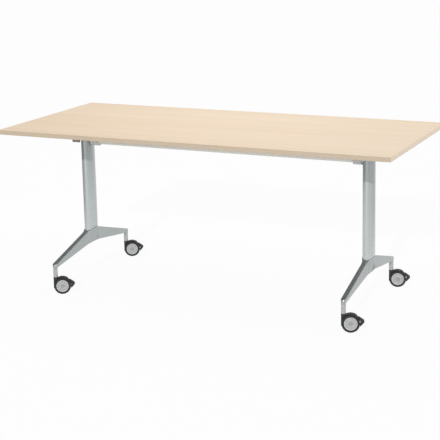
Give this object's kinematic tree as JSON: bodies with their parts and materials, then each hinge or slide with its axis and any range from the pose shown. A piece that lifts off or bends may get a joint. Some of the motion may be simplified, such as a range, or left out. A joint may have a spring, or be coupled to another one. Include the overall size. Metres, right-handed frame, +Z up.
{
  "type": "flip-top conference table",
  "caption": "Flip-top conference table: rectangular laminate top tilting on a crossbar between T-legs with cast gull-wing feet on braked swivel castors.",
  "frame": {"origin": "on the floor under the middle of the top", "axes": "+X along the length of the top to the right, -Y towards the front edge, +Z up"},
  "size_m": [1.8, 0.8, 0.75],
  "materials": {
    "top_laminate": "satin pale wood-grain laminate",
    "edge_strip": "satin pale wood-tone strip",
    "column_silver": "satin silver coating",
    "foot_cast": "satin silver coating on a casting",
    "head_plastic": "matte dark grey",
    "crossbar_silver": "satin silver coating",
    "carrier_grey": "satin grey coating",
    "bush_plastic": "natural plastic",
    "fastener_steel": "zinc plated",
    "lever_grey": "matte mid grey",
    "castor_black": "satin black",
    "pedal_black": "matte black",
    "tyre_black": "matte black tread",
    "hub_grey": "satin grey"
  },
  "bodies": {
    "frame": {"left_column": "column_silver", "right_column": "column_silver", "left_foot": "foot_cast", "right_foot": "foot_cast", "left_head": "head_plastic", "right_head": "head_plastic", "crossbar": "crossbar_silver", "left_crossbar_plug": "fastener_steel", "right_crossbar_plug": "fastener_steel", "crossbar_bolts": "fastener_steel", "foot_bolts": "fastener_steel", "head_screws": "fastener_steel", "clamp_bolt": "fastener_steel", "tilt_stop_bolt": "fastener_steel", "front_left_castor_stem": "column_silver", "back_left_castor_stem": "column_silver", "front_right_castor_stem": "column_silver", "back_right_castor_stem": "column_silver"},
    "top": {"board": "top_laminate", "front_edge_strip": "edge_strip", "back_edge_strip": "edge_strip", "left_edge_strip": "edge_strip", "right_edge_strip": "edge_strip", "left_carrier": "carrier_grey", "right_carrier": "carrier_grey", "left_bush": "bush_plastic", "right_bush": "bush_plastic", "carrier_screws": "fastener_steel"},
    "lever": {"tilt_lever": "lever_grey", "lever_bush": "fastener_steel"},
    "front_left_castor": {"front_left_castor_housing": "castor_black", "front_left_castor_axle": "fastener_steel"},
    "front_left_near_wheel": {"front_left_castor_near_tyre": "tyre_black", "front_left_castor_near_hub": "hub_grey"},
    "front_left_far_wheel": {"front_left_castor_far_tyre": "tyre_black", "front_left_castor_far_hub": "hub_grey"},
    "front_left_pedal": {"front_left_castor_pedal": "pedal_black"},
    "back_left_castor": {"back_left_castor_housing": "castor_black", "back_left_castor_axle": "fastener_steel"},
    "back_left_near_wheel": {"back_left_castor_near_tyre": "tyre_black", "back_left_castor_near_hub": "hub_grey"},
    "back_left_far_wheel": {"back_left_castor_far_tyre": "tyre_black", "back_left_castor_far_hub": "hub_grey"},
    "back_left_pedal": {"back_left_castor_pedal": "pedal_black"},
    "front_right_castor": {"front_right_castor_housing": "castor_black", "front_right_castor_axle": "fastener_steel"},
    "front_right_near_wheel": {"front_right_castor_near_tyre": "tyre_black", "front_right_castor_near_hub": "hub_grey"},
    "front_right_far_wheel": {"front_right_castor_far_tyre": "tyre_black", "front_right_castor_far_hub": "hub_grey"},
    "front_right_pedal": {"front_right_castor_pedal": "pedal_black"},
    "back_right_castor": {"back_right_castor_housing": "castor_black", "back_right_castor_axle": "fastener_steel"},
    "back_right_near_wheel": {"back_right_castor_near_tyre": "tyre_black", "back_right_castor_near_hub": "hub_grey"},
    "back_right_far_wheel": {"back_right_castor_far_tyre": "tyre_black", "back_right_castor_far_hub": "hub_grey"},
    "back_right_pedal": {"back_right_castor_pedal": "pedal_black"}
  },
  "joints": [
    {"name": "top_flip", "type": "hinge", "parent": "frame", "child": "top", "pos_m": [0, 0, 0.653], "axis": [1, 0, 0], "range_deg": [0, 90]},
    {"name": "lever_turn", "type": "hinge", "parent": "frame", "child": "lever", "pos_m": [-0.7194, 0, 0.68806], "axis": [1, 0, 0], "range_deg": [-60, 0]},
    {"name": "front_left_swivel", "type": "hinge", "parent": "frame", "child": "front_left_castor", "pos_m": [-0.684, -0.325, 0.0765], "axis": [0, 0, 1], "continuous": true},
    {"name": "front_left_near_spin", "type": "hinge", "parent": "front_left_castor", "child": "front_left_near_wheel", "pos_m": [-0.65914, -0.31006, 0.0375], "axis": [-0.515, 0.8572, 0], "continuous": true},
    {"name": "front_left_far_spin", "type": "hinge", "parent": "front_left_castor", "child": "front_left_far_wheel", "pos_m": [-0.65914, -0.31006, 0.0375], "axis": [-0.515, 0.8572, 0], "continuous": true},
    {"name": "front_left_brake", "type": "hinge", "parent": "front_left_castor", "child": "front_left_pedal", "pos_m": [-0.63857, -0.2977, 0.0325], "axis": [-0.515, 0.8572, 0], "range_deg": [0, 12]},
    {"name": "back_left_swivel", "type": "hinge", "parent": "frame", "child": "back_left_castor", "pos_m": [-0.684, 0.325, 0.0765], "axis": [0, 0, 1], "continuous": true},
    {"name": "back_left_near_spin", "type": "hinge", "parent": "back_left_castor", "child": "back_left_near_wheel", "pos_m": [-0.65864, 0.33906, 0.0375], "axis": [-0.4848, 0.8746, 0], "continuous": true},
    {"name": "back_left_far_spin", "type": "hinge", "parent": "back_left_castor", "child": "back_left_far_wheel", "pos_m": [-0.65864, 0.33906, 0.0375], "axis": [-0.4848, 0.8746, 0], "continuous": true},
    {"name": "back_left_brake", "type": "hinge", "parent": "back_left_castor", "child": "back_left_pedal", "pos_m": [-0.63765, 0.35069, 0.0325], "axis": [-0.4848, 0.8746, 0], "range_deg": [0, 12]},
    {"name": "front_right_swivel", "type": "hinge", "parent": "frame", "child": "front_right_castor", "pos_m": [0.684, -0.325, 0.0765], "axis": [0, 0, 1], "continuous": true},
    {"name": "front_right_near_spin", "type": "hinge", "parent": "front_right_castor", "child": "front_right_near_wheel", "pos_m": [0.71125, -0.31508, 0.0375], "axis": [-0.342, 0.9397, 0], "continuous": true},
    {"name": "front_right_far_spin", "type": "hinge", "parent": "front_right_castor", "child": "front_right_far_wheel", "pos_m": [0.71125, -0.31508, 0.0375], "axis": [-0.342, 0.9397, 0], "continuous": true},
    {"name": "front_right_brake", "type": "hinge", "parent": "front_right_castor", "child": "front_right_pedal", "pos_m": [0.7338, -0.30687, 0.0325], "axis": [-0.342, 0.9397, 0], "range_deg": [0, 12]},
    {"name": "back_right_swivel", "type": "hinge", "parent": "frame", "child": "back_right_castor", "pos_m": [0.684, 0.325, 0.0765], "axis": [0, 0, 1], "continuous": true},
    {"name": "back_right_near_spin", "type": "hinge", "parent": "back_right_castor", "child": "back_right_near_wheel", "pos_m": [0.71158, 0.33396, 0.0375], "axis": [-0.309, 0.9511, 0], "continuous": true},
    {"name": "back_right_far_spin", "type": "hinge", "parent": "back_right_castor", "child": "back_right_far_wheel", "pos_m": [0.71158, 0.33396, 0.0375], "axis": [-0.309, 0.9511, 0], "continuous": true},
    {"name": "back_right_brake", "type": "hinge", "parent": "back_right_castor", "child": "back_right_pedal", "pos_m": [0.73441, 0.34138, 0.0325], "axis": [-0.309, 0.9511, 0], "range_deg": [0, 12]}
  ]
}
